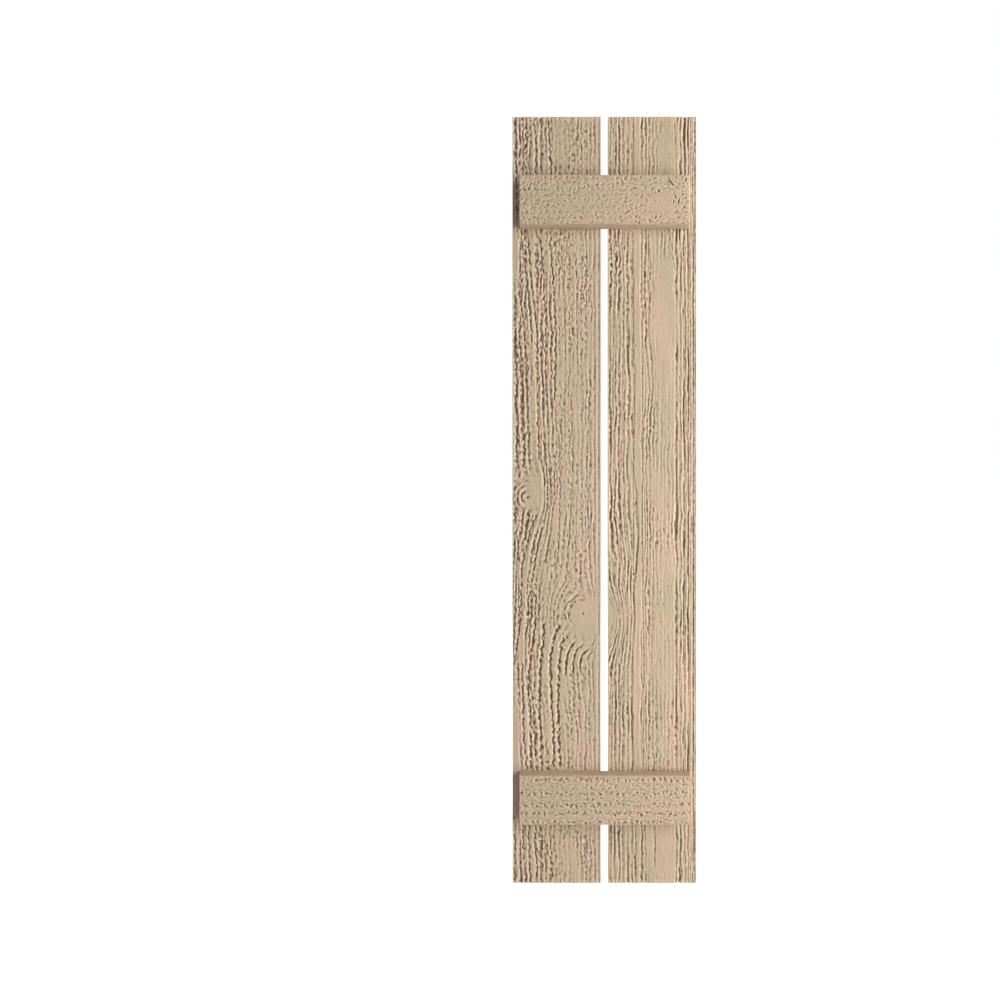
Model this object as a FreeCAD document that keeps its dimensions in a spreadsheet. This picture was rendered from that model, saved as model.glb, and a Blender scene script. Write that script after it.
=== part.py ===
"""Board and batten shutter: two upright boards a finger's width apart, tied by two battens across their faces.

The shutter stands upright in the XZ plane and faces -Y. The boards' backs lie in the plane y = 0, where the
wall is. The origin is the middle of the left board's back. The boards lie side by side along X with an open
gap between them. Each batten lies across both boards' faces, stops short of their outer edges, and is held
by four countersunk screws driven from behind, two through each board. The boards are rough sawn, and the main
lines in which their grain stands open are cut in their faces. All sizes are in millimetres.
"""

import FreeCAD, Part
import Sketcher
import os

SIZES = [
    ("shutter_height", 1219.2, "length of both boards"),
    ("board_width", 140.3, "width of each board"),
    ("board_thickness", 19.0, "thickness of each board"),
    ("board_gap", 11.5, "open gap between the two boards"),
    ("batten_height", 77.0, "height of each batten"),
    ("batten_thickness", 19.0, "thickness of each batten"),
    ("batten_from_end", 102.0, "from a board's end to the near edge of the batten"),
    ("batten_end_inset", 13.0, "from a board's outer edge to the end of the batten"),
    ("board_arris", 1.2, "rounding of the boards' front edges"),
    ("batten_arris", 1.0, "rounding of the battens' front edges"),
    ("screw_from_board_edge", 38.0, "from a board's long edge to the nearer screw of a crossing"),
    ("screw_from_batten_edge", 22.0, "from a batten's long edge to the nearer screw of a crossing"),
    ("screw_diameter", 4.2, "outside diameter of the screw's thread"),
    ("screw_head_diameter", 8.4, "diameter of the countersunk head"),
    ("screw_head_angle", 90.0, "full angle of the head's cone, in degrees"),
    ("screw_head_rim", 0.3, "straight rim of the head, above its cone"),
    ("screw_point", 5.0, "length of the sharp end"),
    ("screw_tip_diameter", 0.6, "diameter of the small flat on the sharp end's tip"),
    ("screw_set", 0.5, "depth of the head below the board's back"),
    ("screw_cover", 5.0, "wood left between the sharp end and the batten's face"),
    ("screw_clearance", 0.3, "room around the screw in the board"),
    ("pilot_spare", 1.0, "how far the pilot hole runs on past the sharp end"),
    ("drive_width", 2.8, "across the flats of the square recess in the head"),
    ("drive_depth", 1.6, "depth of that recess"),
    ("torn_width", 5.2, "width of the broad lines where the grain is torn open"),
    ("torn_depth", 2.2, "depth of the broad lines"),
    ("open_width", 3.4, "width of the other open lines of the grain"),
    ("open_depth", 1.6, "depth of the other open lines"),
    ("grain_slope", 32.0, "lean of the open lines' sides, in degrees off square to the face"),
]

# The places and lengths that follow from the sizes, as expressions on the sheet.
BOARD_STEP = "(Sizes.board_width + Sizes.board_gap)"
BATTEN_LENGTH = "(2 * Sizes.board_width + Sizes.board_gap - 2 * Sizes.batten_end_inset)"
BATTEN_LIFT = "(Sizes.shutter_height / 2 - Sizes.batten_from_end - Sizes.batten_height / 2)"
SCREW_LENGTH = "(Sizes.board_thickness + Sizes.batten_thickness - Sizes.screw_set - Sizes.screw_cover)"
HEAD_SLOPE = "tan(Sizes.screw_head_angle * 1 deg / 2)"
HEAD_CONE = f"((Sizes.screw_head_diameter - Sizes.screw_diameter) / 2 / {HEAD_SLOPE})"
SINK_DIAMETER = (
    f"(Sizes.screw_head_diameter + 2 * (Sizes.screw_set + Sizes.screw_head_rim) * {HEAD_SLOPE})"
)
PILOT_DEPTH = "(Sizes.batten_thickness - Sizes.screw_cover + Sizes.pilot_spare)"

# The lines in which each board's grain stands open, in groups. A group's kind names its width and depth on the
# sheet. Each line is drawn through places on the face: percent of its width from the left edge, and percent of
# its height up from the middle. A line that ends past the board's end runs out through it.
LEFT_GRAIN = {
    "long_arches": ("torn", [
        [(26.4, -15.3), (22.8, -18.9), (18.5, -22.1), (17.8, -25.3), (20.7, -28.5), (20.7, -35.3)],
        [(35.6, -16.1), (34.9, -18), (31.4, -21.5), (29.9, -26.7), (32.1, -30.5), (33.2, -35.4)],
        [(53.1, -16.2), (46.3, -18.2), (42.8, -20.5), (42.8, -23.4), (45.6, -29.6), (47, -35.1)],
        [(62, -17.6), (54.9, -18.7), (52.7, -21.5), (51.3, -26.2), (52, -29.6), (54.2, -34.8)],
    ]),
    "short_arches": ("torn", [
        [(70.6, -18.5), (65.6, -19.2), (62, -20.3), (60.6, -21.5), (59.9, -23)],
        [(80.5, -18.8), (73.4, -19.5), (69.9, -20.3), (68.4, -21.5), (69.1, -22.8)],
        [(91.2, -19.4), (84.1, -19.6), (78.4, -20.3), (76.3, -21.5), (77, -22.6)],
    ]),
    "top_lines": ("open", [
        [(2.9, 50.3), (3.2, 45.9), (5, 41), (5.7, 36.5)],
        [(10.7, 50.3), (12.1, 45.9), (10.7, 41), (12.1, 36.5)],
        [(23.5, 50.3), (26.9, 45.9), (25.7, 42.7), (28.5, 40.2)],
        [(39.9, 50.3), (42.1, 45.9), (43.5, 42.7), (42.8, 36.5)],
    ]),
    "upper_lines": ("open", [
        [(5.7, 28.9), (12.7, 22.9), (16.2, 14.4), (19.1, 3.9)],
        [(9.2, 34.3), (14.8, 30), (21, 22.9), (21.6, 20.3)],
        [(16.7, 35.1), (21.6, 27.6), (27.8, 22.1), (27.8, 14.8), (29.9, 5.1)],
        [(29.8, 34.4), (32.9, 32.4), (34.9, 28.7), (37.8, 22.1), (37.1, 16.9), (39.9, 9.7)],
        [(42.2, 33.7), (45.9, 28.7), (49, 21.3), (47, 13)],
    ]),
    "fine_lines": ("open", [
        [(55.2, 33.5), (57, 28), (59, 23.5), (60, 18)],
        [(69.9, 32.4), (73.4, 28.5), (72.3, 24), (74, 17)],
        [(52, 9), (54, 2), (52, -6), (47, -12)],
        [(66, 14), (68, 6), (66, -2), (60, -11)],
        [(86, 12), (84, 4), (86, -4), (88, -10.5)],
    ]),
    "knots": ("open", [
        [(15, 1.8), (7.8, 1.2), (5.3, 0.3), (6.8, -0.6), (11.4, -1.1)],
        [(77, -12.9), (69.1, -13.3), (63.4, -14.1), (62.4, -15.1), (64.9, -16.1)],
    ]),
    "lower_lines": ("open", [
        [(29.2, -1.6), (20.7, -3.4), (15.7, -6.2), (10.7, -8.2), (9.3, -15.3), (1.4, -21.7)],
        [(11.4, -21.2), (10.7, -22.6), (11.8, -26.2), (12.1, -30.3), (16.4, -35.3)],
    ]),
    "bottom_lines": ("open", [
        [(2.1, -41), (2.9, -45.9), (2.1, -50.3)],
        [(10.5, -36.5), (11.4, -41.8), (12.1, -45.9), (15.7, -50.3)],
        [(17.8, -41), (18.5, -45.9), (20.7, -50.3)],
        [(32.8, -36.5), (31.4, -41.8), (31, -45.9), (32.8, -50.3)],
    ]),
}
RIGHT_GRAIN = {
    "top_lines": ("open", [
        [(6.4, 50.3), (5.7, 44.3), (6.4, 36.9)],
        [(17.1, 50.3), (16.4, 44.3), (17.8, 36.9)],
    ]),
    "outer_lines": ("open", [
        [(93.4, 50.3), (92.7, 32.8), (93.7, 16.4), (93, 0), (93.7, -16.4), (92.7, -32.8), (93.4, -50.3)],
        [(87, 35.3), (84.8, 32.8), (87.7, 24.6), (88.4, 8.2), (88.4, -8.2), (87, -24.6), (87.7, -36.1)],
    ]),
    "middle_lines": ("open", [
        [(28.5, 50.3), (28.9, 44.3), (27.8, 32), (28.9, 20.5), (29.9, 12.3), (28.5, 4.9), (28.9, -10)],
        [(37.8, 36.1), (38.5, 24.6), (39.2, 9.8), (38.5, -4.9), (40.6, -18), (39.9, -36.1)],
        [(18.5, 1), (20.7, -3.3), (24.2, -6.6), (26.7, -8.7)],
    ]),
    "inner_lines": ("open", [
        [(5.7, 36.1), (7.1, 27.1), (5, 16.4), (6.4, 7.4), (5.7, 1.6)],
        [(15.7, 36.1), (17.8, 27.1), (17.1, 19.7), (15.7, 9.8), (14.3, 3.3)],
    ]),
    "fine_lines": ("open", [
        [(75, 50.3), (77, 44), (78.5, 37)],
        [(45.6, 31.6), (45.2, 27), (46.3, 20)],
        [(80.5, 34), (82, 22), (81, 8), (82, -8), (80.5, -22), (81.5, -36)],
        [(50, -2), (51.5, -9), (49, -18), (50, -26)],
    ]),
    "swirl": ("open", [
        [(4.3, -7.4), (10, -11.5), (13.5, -15.8), (10, -20.2), (5, -24.6), (3.6, -36.1)],
        [(12.8, -4.1), (16.4, -9), (22.5, -15.8), (20, -19.7), (14.3, -24.6), (12.1, -36.1)],
    ]),
    "bottom_lines": ("open", [
        [(15.7, -36.9), (16.4, -43.5), (17.1, -50.3)],
        [(30.6, -36.9), (31.4, -45.1), (31, -50.3)],
        [(52, -41.8), (53.5, -44.7), (52.7, -48)],
        [(87.7, -36.9), (87, -43.5), (88.4, -50.3)],
    ]),
}
GRAIN = {"left_board": LEFT_GRAIN, "right_board": RIGHT_GRAIN}

# The boards by the step along X from the left one, and by the side of each that is the shutter's outer edge.
BOARDS = {"left_board": (0, -1), "right_board": (1, 1)}
# The battens by the way they lie from the middle of the shutter's height.
BATTENS = {"top_batten": 1, "bottom_batten": -1}


def make_sheet(doc):
    """Writes the driving sizes to the document's spreadsheet, each under its own alias."""
    sheet = doc.addObject("Spreadsheet::Sheet", "Sizes")
    for row, (alias, value, meaning) in enumerate(SIZES, 1):
        sheet.set(f"A{row}", alias)
        sheet.set(f"B{row}", str(value))
        sheet.set(f"C{row}", meaning)
        sheet.setAlias(f"B{row}", alias)
    doc.recompute()
    return sheet


def make_body(doc, label):
    """An empty body whose Label names the piece."""
    body = doc.addObject("PartDesign::Body", label)
    body.Label = label
    return body


def make_sketch(body, name, role):
    """An empty sketch on one of the body's own origin planes."""
    sketch = body.newObject("Sketcher::SketchObject", name)
    plane = next(f for f in body.Origin.OriginFeatures if f.Role == role)
    sketch.AttachmentSupport = [(plane, "")]
    sketch.MapMode = "FlatFace"
    return sketch


def bind(sketch, dimensions):
    """Named dimensions from one point of the sketch to another, which follow expressions on the sheet."""
    drawn = []
    for kind, places, name, expression in dimensions:
        start, end = sketch.getPoint(*places[:2]), sketch.getPoint(*places[2:])
        reach = end.x - start.x if kind == "DistanceX" else end.y - start.y
        drawn.append(Sketcher.Constraint(kind, *places, reach))
    first = sketch.ConstraintCount
    sketch.addConstraint(drawn)
    for i, (kind, places, name, expression) in enumerate(dimensions):
        sketch.renameConstraint(first + i, name)
        sketch.setExpression(f"Constraints.{name}", expression)


def draw_sides(sketch, rough_corners):
    """Straight sides through rough corners, joined end to end. The dimensions then set their true places."""
    corners = [FreeCAD.Vector(x, y, 0) for x, y in rough_corners]
    following = corners[1:] + corners[:1]
    first = sketch.GeometryCount
    last = first + len(corners) - 1
    sketch.addGeometry([Part.LineSegment(a, b) for a, b in zip(corners, following)], False)
    joints = [(i, 2, i + 1, 1) for i in range(first, last)] + [(last, 2, first, 1)]
    sketch.addConstraint([Sketcher.Constraint("Coincident", *joint) for joint in joints])


def draw_rectangle(sketch, width, height):
    """A rectangle about the sketch's origin. Its size follows the two expressions."""
    draw_sides(sketch, [(-1, -1), (1, -1), (1, 1), (-1, 1)])
    for i in (0, 2):
        sketch.addConstraint(Sketcher.Constraint("Horizontal", i))
        sketch.addConstraint(Sketcher.Constraint("Vertical", i + 1))
    sketch.addConstraint(Sketcher.Constraint("Symmetric", 0, 1, 1, 2, -1, 1))
    bind(sketch, [
        ("DistanceX", (0, 1, 0, 2), "width", width),
        ("DistanceY", (1, 1, 1, 2), "height", height),
    ])


def draw_hole_centres(sketch, centres):
    """A small circle at each hole's centre. The places are pairs of expressions, across and up."""
    radius = 1.0
    for i, (across, up) in enumerate(centres):
        sketch.addGeometry(Part.Circle(FreeCAD.Vector(0, 0, 0), FreeCAD.Vector(0, 0, 1), radius), False)
        sketch.addConstraint(Sketcher.Constraint("Radius", i, radius))
        bind(sketch, [
            ("DistanceX", (-1, 1, i, 3), f"across_{i}", across),
            ("DistanceY", (-1, 1, i, 3), f"up_{i}", up),
        ])


def draw_grain_line(sketch, path, width):
    """The outline of an open line about its path: pointed at both ends, and of full width between them."""
    size = {alias: value for alias, value, meaning in SIZES}
    places = [FreeCAD.Vector(x * size["board_width"], y * size["shutter_height"], 0) for x, y in path]
    near, far = [], []
    for i in range(1, len(path) - 1):
        lean = (places[i + 1] - places[i - 1]).normalize()
        near.append((*path[i], lean.y, -lean.x))
        far.append((*path[i], -lean.y, lean.x))
    corners = [(*path[0], 0, 0), *near, (*path[-1], 0, 0), *reversed(far)]
    first = sketch.GeometryCount
    draw_sides(sketch, [(across - 50 + aside, 10 * up + above) for across, up, aside, above in corners])
    dimensions = []
    for i, (across, up, aside, above) in enumerate(corners):
        x = f"({across} / 100 - 0.5) * Sizes.board_width + {aside:.3f} * {width} / 2"
        y = f"{up} / 100 * Sizes.shutter_height + {above:.3f} * {width} / 2"
        dimensions.append(("DistanceX", (-1, 1, first + i, 1), f"across_{first + i}", x))
        dimensions.append(("DistanceY", (-1, 1, first + i, 1), f"up_{first + i}", y))
    bind(sketch, dimensions)


def pad_plank(doc, body, width, height, thickness, arris):
    """A plank from the plane y = 0 forward to y = -thickness, with its front edges rounded."""
    outline = make_sketch(body, "Outline", "XZ_Plane")
    draw_rectangle(outline, width, height)
    pad = body.newObject("PartDesign::Pad", "Plank")
    pad.Profile = outline
    pad.setExpression("Length", thickness)
    doc.recompute()
    front = pad.Shape.BoundBox.YMin
    edges = [
        f"Edge{i}"
        for i, edge in enumerate(pad.Shape.Edges, 1)
        if all(abs(v.Point.y - front) < 1e-6 for v in edge.Vertexes)
    ]
    rounding = body.newObject("PartDesign::Fillet", "Arris")
    rounding.Base = (pad, edges)
    rounding.setExpression("Radius", arris)
    doc.recompute()
    return rounding


def drill(doc, body, centres, diameter):
    """Round holes from the plane y = 0 forward into the plank. The caller sets their depth and mouth."""
    sketch = make_sketch(body, "Hole_centres", "XZ_Plane")
    draw_hole_centres(sketch, centres)
    doc.recompute()
    hole = body.newObject("PartDesign::Hole", "Screw_holes")
    hole.Profile = sketch
    doc.recompute()
    hole.Reversed = True
    hole.ThreadType = "None"
    hole.setExpression("Diameter", diameter)
    return hole


def check_cut(doc, before, after):
    """Stops the build if a feature that should cut has taken nothing away."""
    doc.recompute()
    if after.Shape.Volume >= before.Shape.Volume - 1e-3:
        raise RuntimeError(f"{after.Label} of {after.getParentGeoFeatureGroup().Label} cuts nothing")


def open_grain(doc, body, group, kind, lines):
    """Cuts a group of open grain lines into a board's face, narrower as they go down."""
    before = body.Tip
    outlines = make_sketch(body, f"{group}_outlines", "XZ_Plane")
    outlines.setExpression("AttachmentOffset.Base.z", "Sizes.board_thickness")
    for path in lines:
        draw_grain_line(outlines, path, f"Sizes.{kind}_width")
    grain = body.newObject("PartDesign::Pocket", group)
    grain.Profile = outlines
    grain.setExpression("Length", f"Sizes.{kind}_depth")
    grain.setExpression("TaperAngle", "-Sizes.grain_slope")
    grain.Refine = False
    check_cut(doc, before, grain)


def crossing_centres(outer, end, up):
    """The two screws of a crossing, about the board's middle and the height up: outer one, then inner one.

    outer is the side of the shutter's outer edge, and end is 1 at the top batten and -1 at the bottom one.
    The outer screw lies nearer to the board's end than the inner one.
    """
    across = "(Sizes.board_width / 2 - Sizes.screw_from_board_edge)"
    lean = "(Sizes.batten_height / 2 - Sizes.screw_from_batten_edge)"
    return {
        "outer": (f"{outer} * {across}", f"{end} * ({up} + {lean})"),
        "inner": (f"{-outer} * {across}", f"{end} * ({up} - {lean})"),
    }


def make_board(doc, label, step, outer):
    """One upright board: open grain in its face, and a countersunk clearance hole at its back for each screw."""
    body = make_body(doc, label)
    solid = pad_plank(
        doc, body, "Sizes.board_width", "Sizes.shutter_height", "Sizes.board_thickness", "Sizes.board_arris"
    )
    centres = [
        place for end in BATTENS.values() for place in crossing_centres(outer, end, BATTEN_LIFT).values()
    ]
    hole = drill(doc, body, centres, "Sizes.screw_diameter + 2 * Sizes.screw_clearance")
    hole.DepthType = "ThroughAll"
    hole.HoleCutType = "Countersink"
    hole.HoleCutCustomValues = True
    hole.setExpression("HoleCutDiameter", SINK_DIAMETER)
    hole.setExpression("HoleCutCountersinkAngle", "Sizes.screw_head_angle")
    check_cut(doc, solid, hole)
    for group, (kind, lines) in GRAIN[label].items():
        open_grain(doc, body, group, kind, lines)
    body.setExpression("Placement.Base.x", f"{step} * {BOARD_STEP}")
    return body


def make_batten(doc, label, end):
    """One batten across both boards, with blind pilot holes in its back for the screws."""
    body = make_body(doc, label)
    solid = pad_plank(
        doc, body, BATTEN_LENGTH, "Sizes.batten_height", "Sizes.batten_thickness", "Sizes.batten_arris"
    )
    centres = []
    for step, outer in BOARDS.values():
        board_middle = f"({step} - 0.5) * {BOARD_STEP}"
        for across, up in crossing_centres(outer, end, "0").values():
            centres.append((f"{board_middle} + {across}", up))
    hole = drill(doc, body, centres, "Sizes.screw_diameter")
    hole.DepthType = "Dimension"
    hole.DrillPoint = "Flat"
    hole.setExpression("Depth", PILOT_DEPTH)
    check_cut(doc, solid, hole)
    body.setExpression("Placement.Base.x", f"0.5 * {BOARD_STEP}")
    body.setExpression("Placement.Base.y", "-Sizes.board_thickness")
    body.setExpression("Placement.Base.z", f"{end} * {BATTEN_LIFT}")
    return body


def draw_screw_outline(sketch):
    """Half of the screw's section beside its axis, from the flat of the head down to the tip."""
    draw_sides(sketch, [(0, 0), (4, 0), (4, -1), (2, -3), (2, -20), (1, -30), (0, -30)])
    flat, rim, cone, shank, point, tip, axis = range(7)
    sketch.addConstraint(Sketcher.Constraint("Coincident", flat, 1, -1, 1))
    for side in (flat, tip):
        sketch.addConstraint(Sketcher.Constraint("Horizontal", side))
    for side in (rim, shank, axis):
        sketch.addConstraint(Sketcher.Constraint("Vertical", side))
    bind(sketch, [
        ("DistanceX", (flat, 1, flat, 2), "head_radius", "Sizes.screw_head_diameter / 2"),
        ("DistanceY", (rim, 2, rim, 1), "rim", "Sizes.screw_head_rim"),
        ("DistanceY", (cone, 2, cone, 1), "cone", HEAD_CONE),
        ("DistanceX", (axis, 2, shank, 1), "shank_radius", "Sizes.screw_diameter / 2"),
        ("DistanceY", (point, 2, point, 1), "point", "Sizes.screw_point"),
        ("DistanceX", (axis, 1, tip, 1), "tip_radius", "Sizes.screw_tip_diameter / 2"),
        ("DistanceY", (axis, 1, axis, 2), "length", SCREW_LENGTH),
    ])


def make_screw(doc, label, step, place):
    """One countersunk screw along Y with its head at the back and a square recess in the head."""
    body = make_body(doc, label)
    outline = make_sketch(body, "Half_section", "XY_Plane")
    draw_screw_outline(outline)
    turned = body.newObject("PartDesign::Revolution", "Turned")
    turned.Profile = outline
    turned.ReferenceAxis = (outline, ["V_Axis"])
    turned.Angle = 360.0
    doc.recompute()
    square = make_sketch(body, "Drive_outline", "XZ_Plane")
    draw_rectangle(square, "Sizes.drive_width", "Sizes.drive_width")
    recess = body.newObject("PartDesign::Pocket", "Drive")
    recess.Profile = square
    recess.Reversed = True
    recess.setExpression("Length", "Sizes.drive_depth")
    check_cut(doc, turned, recess)
    across, up = place
    body.setExpression("Placement.Base.x", f"{step} * {BOARD_STEP} + {across}")
    body.setExpression("Placement.Base.y", "-Sizes.screw_set")
    body.setExpression("Placement.Base.z", up)
    return body


def make_screws(doc):
    """Two screws wherever a batten crosses a board."""
    screws = []
    for batten, end in BATTENS.items():
        for board, (step, outer) in BOARDS.items():
            for side, place in crossing_centres(outer, end, BATTEN_LIFT).items():
                name = f"{batten.split('_')[0]}_{board.split('_')[0]}_{side}_screw"
                screws.append(make_screw(doc, name, step, place))
    return screws


def check_document(doc, bodies):
    """Stops the build if an object failed or a piece isn't one valid solid."""
    for thing in doc.Objects:
        if "Invalid" in thing.State or "Error" in thing.State:
            raise RuntimeError(f"{thing.Label} failed: {thing.State}")
    for body in bodies:
        shape = body.Shape
        if shape.isNull() or not shape.isValid() or len(shape.Solids) != 1:
            raise RuntimeError(f"{body.Label} isn't one valid solid")


def export(bodies):
    """Writes each piece where it stands to parts/NAME.step."""
    os.makedirs("parts", exist_ok=True)
    for body in bodies:
        body.Shape.exportStep(f"parts/{body.Label}.step")
        box = body.Shape.BoundBox
        low = (round(box.XMin, 2), round(box.YMin, 2), round(box.ZMin, 2))
        high = (round(box.XMax, 2), round(box.YMax, 2), round(box.ZMax, 2))
        print(body.Label, low, high, round(body.Shape.Volume, 1))


def main():
    doc = FreeCAD.newDocument("Shutter")
    make_sheet(doc)
    bodies = [make_board(doc, label, step, outer) for label, (step, outer) in BOARDS.items()]
    bodies += [make_batten(doc, label, end) for label, end in BATTENS.items()]
    bodies += make_screws(doc)
    doc.recompute()
    check_document(doc, bodies)
    export(bodies)


main()
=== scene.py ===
"""The looks of the board and batten shutter: rough-sawn, primed boards and battens, and their screws.

Each plank is one closed mesh. Its faces are carved by a relief of grain lines, knots and torn fibres,
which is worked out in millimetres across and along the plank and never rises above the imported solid.
"""

import math
from collections import namedtuple

import bpy
import numpy as np
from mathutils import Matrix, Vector


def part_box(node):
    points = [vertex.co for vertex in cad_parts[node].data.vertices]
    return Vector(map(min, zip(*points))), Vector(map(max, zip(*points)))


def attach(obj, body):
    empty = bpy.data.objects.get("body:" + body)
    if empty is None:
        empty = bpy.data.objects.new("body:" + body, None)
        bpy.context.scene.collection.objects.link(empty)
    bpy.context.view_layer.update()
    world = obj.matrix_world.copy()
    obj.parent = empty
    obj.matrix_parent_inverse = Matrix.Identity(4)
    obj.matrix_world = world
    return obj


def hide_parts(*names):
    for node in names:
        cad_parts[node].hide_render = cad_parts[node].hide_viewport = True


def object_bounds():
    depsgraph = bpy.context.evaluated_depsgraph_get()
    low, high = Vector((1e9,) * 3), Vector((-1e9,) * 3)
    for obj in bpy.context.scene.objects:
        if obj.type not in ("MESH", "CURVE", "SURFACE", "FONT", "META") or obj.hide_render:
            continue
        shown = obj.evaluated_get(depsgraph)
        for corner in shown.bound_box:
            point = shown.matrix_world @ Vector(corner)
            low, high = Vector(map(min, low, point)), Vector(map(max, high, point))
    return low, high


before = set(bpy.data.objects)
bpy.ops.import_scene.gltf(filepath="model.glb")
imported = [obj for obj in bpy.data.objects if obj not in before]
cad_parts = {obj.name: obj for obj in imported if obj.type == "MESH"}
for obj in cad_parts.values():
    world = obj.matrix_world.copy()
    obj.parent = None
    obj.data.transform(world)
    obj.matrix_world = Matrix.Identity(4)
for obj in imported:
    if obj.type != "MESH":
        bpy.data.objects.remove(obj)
solid_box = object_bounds()

MM = 0.001
PICTURE_SIDE = 1000

# The photograph: the shutter's middle in pixels, and the scale at the boards' faces.
SHUTTER_MIDDLE_PX = (604.25, 499.9)
BOARD_PX_PER_MM = 0.6292
CAMERA_TO_BOARDS = 1.043
SENSOR = 36.0

LEFT_BOARD, RIGHT_BOARD = "left_board", "right_board"
TOP_BATTEN, BOTTOM_BATTEN = "top_batten", "bottom_batten"


# Smooth noise, on arrays of places

def lattice(ix, iy, seed):
    """A fixed pseudo-random number from 0 to 1 for each whole-number place."""
    n = (ix * 374761393 + iy * 668265263 + seed * 974634777) & 0xFFFFFFFF
    n = ((n ^ (n >> 13)) * 1274126177) & 0xFFFFFFFF
    return ((n ^ (n >> 16)) & 0xFFFFFF) / 0xFFFFFF


def noise(x, y, seed):
    """Smooth noise from about -1 to 1, with cells one unit wide."""
    x, y = np.broadcast_arrays(x, y)
    ix, iy = np.floor(x).astype(np.int64), np.floor(y).astype(np.int64)
    fx, fy = x - ix, y - iy

    def corner(i, j):
        turn = lattice(ix + i, iy + j, seed) * 2 * np.pi
        return np.cos(turn) * (fx - i) + np.sin(turn) * (fy - j)

    ease_x = fx**3 * (fx * (fx * 6 - 15) + 10)
    ease_y = fy**3 * (fy * (fy * 6 - 15) + 10)
    low = corner(0, 0) * (1 - ease_x) + corner(1, 0) * ease_x
    high = corner(0, 1) * (1 - ease_x) + corner(1, 1) * ease_x
    return (low * (1 - ease_y) + high * ease_y) * 1.5


def step(low, high, x):
    """Rises smoothly from 0 at low to 1 at high."""
    t = np.clip((x - low) / (high - low), 0, 1)
    return t * t * (3 - 2 * t)


def blurred(values, times):
    """Each value evened out with its neighbours, so many times."""
    for _ in range(times):
        for axis in (0, 1):
            padded = np.pad(values, [(2, 2) if a == axis else (0, 0) for a in (0, 1)], mode="edge")
            parts = [np.take(padded, range(i, i + values.shape[axis]), axis=axis) for i in range(5)]
            values = sum(parts) / 5
    return values


# The relief. Places on a plank are in millimetres: across it from its left or top edge, and along it from
# its middle. A Bend pushes the grain aside, as a knot does. A Band says how the grain's lines are from that
# place across on. A Place is an oval where the wood is calmer or rougher. A Pit is a small torn hole. A Row
# is a line of flecks along a batten: its swell is how far the wood rises and falls there.

Bend = namedtuple("Bend", "across along push reach_across reach_along")
Band = namedtuple("Band", "across pitch depth raggedness")
Place = namedtuple("Place", "across along reach_across reach_along strength")
Knot = namedtuple("Knot", "across along reach_across reach_along depth side rings")
Groove = namedtuple("Groove", "path width depth raggedness")
Pit = namedtuple("Pit", "across along radius depth length lean", defaults=[0, 0])
Row = namedtuple("Row", "across scatter pitch length width depth swell")
Grain = namedtuple("Grain", "seed bends bands calms roughs knots grooves pits rows", defaults=[()])

DEEPEST = 3.0
LIP = 0.26
FACE_WEAR = 0.35


def bent_across(u, v, bends):
    """The place across that the grain at (u, v) would have if no knot pushed it aside."""
    across = u.copy()
    for b in bends:
        near = np.exp(-(((u - b.across) / b.reach_across) ** 2) - ((v - b.along) / b.reach_along) ** 2)
        across -= b.push * near
    return across


def patch(u, v, place, seed):
    """1 inside an oval place on a plank, fading to 0 outside its uneven edge."""
    r = np.hypot((u - place.across) / place.reach_across, (v - place.along) / place.reach_along)
    return 1 - step(0.6, 1.3, r + 0.3 * noise(u / 9, v / 16, seed))


def grain_lines(s, u, v, grain):
    """Depth of the corrugated grain, from the bands across the plank."""
    seed = grain.seed
    edges, pitch, deep, ragged = np.array(grain.bands, float).T
    fine = np.linspace(s.min() - 9, s.max() + 9, 1500)
    count = np.cumsum(1 / np.interp(fine, edges, pitch)) * (fine[1] - fine[0])
    count -= np.interp(0, fine, count)
    ragged = np.interp(s, edges, ragged) * (1 + 0.8 * noise(s / 30, v / 90, seed + 8))
    for place in grain.roughs:
        ragged += place.strength * patch(u, v, place, seed + 16)
    sway = (1.8 + 1.2 * ragged) * noise(s / 9, v / 40, seed + 2) + 1.0 * noise(s / 7, v / 17, seed + 14)
    wiggle = 1.3 * noise(s / 8, v / 9, seed + 3) + 0.8 * noise(s / 4.5, v / 4.2, seed + 4)
    t = s + sway + (0.15 + ragged) * wiggle
    turn = 0.5 - 0.5 * np.cos(2 * np.pi * np.interp(t, fine, count))
    line = turn ** (1.05 + 0.4 * noise(t / 9, v / 60, seed + 6))
    broken = 0.8 + 0.5 * noise(t / 6, v / 30, seed + 9)
    broken += (0.15 + 1.3 * ragged) * noise((t + 0.25 * v) / 3.6, v / 6.5, seed + 10)
    torn = np.clip(noise((s + 0.35 * v) / 2.8, v / 6, seed + 12) - 0.12, 0, 1)
    torn = np.maximum(torn, np.clip(noise((s - 0.3 * v) / 3.1, v / 6, seed + 15) - 0.2, 0, 1))
    deep = np.interp(t, edges, deep) * np.clip(1 + 0.8 * noise(u / 22, v / 75, seed + 18), 0.2, 1.5)
    crumbs = 0.16 * np.clip(ragged, 0, 1.2) * noise((s + 0.2 * v) / 1.9, v / 2.6, seed + 19)
    return deep * (line * np.clip(broken, 0.05, 1.35) + 1.6 * ragged * torn) + crumbs


def turned(x, y, angle):
    """Places seen along and across a line that is turned from x towards y by the angle."""
    return x * np.cos(angle) + y * np.sin(angle), y * np.cos(angle) - x * np.sin(angle)


def raised_rim(r):
    """The wood's rise just outside a torn hollow whose edge is at 1."""
    return np.exp(-(((r - 1.4) / 0.35) ** 2))


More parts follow.
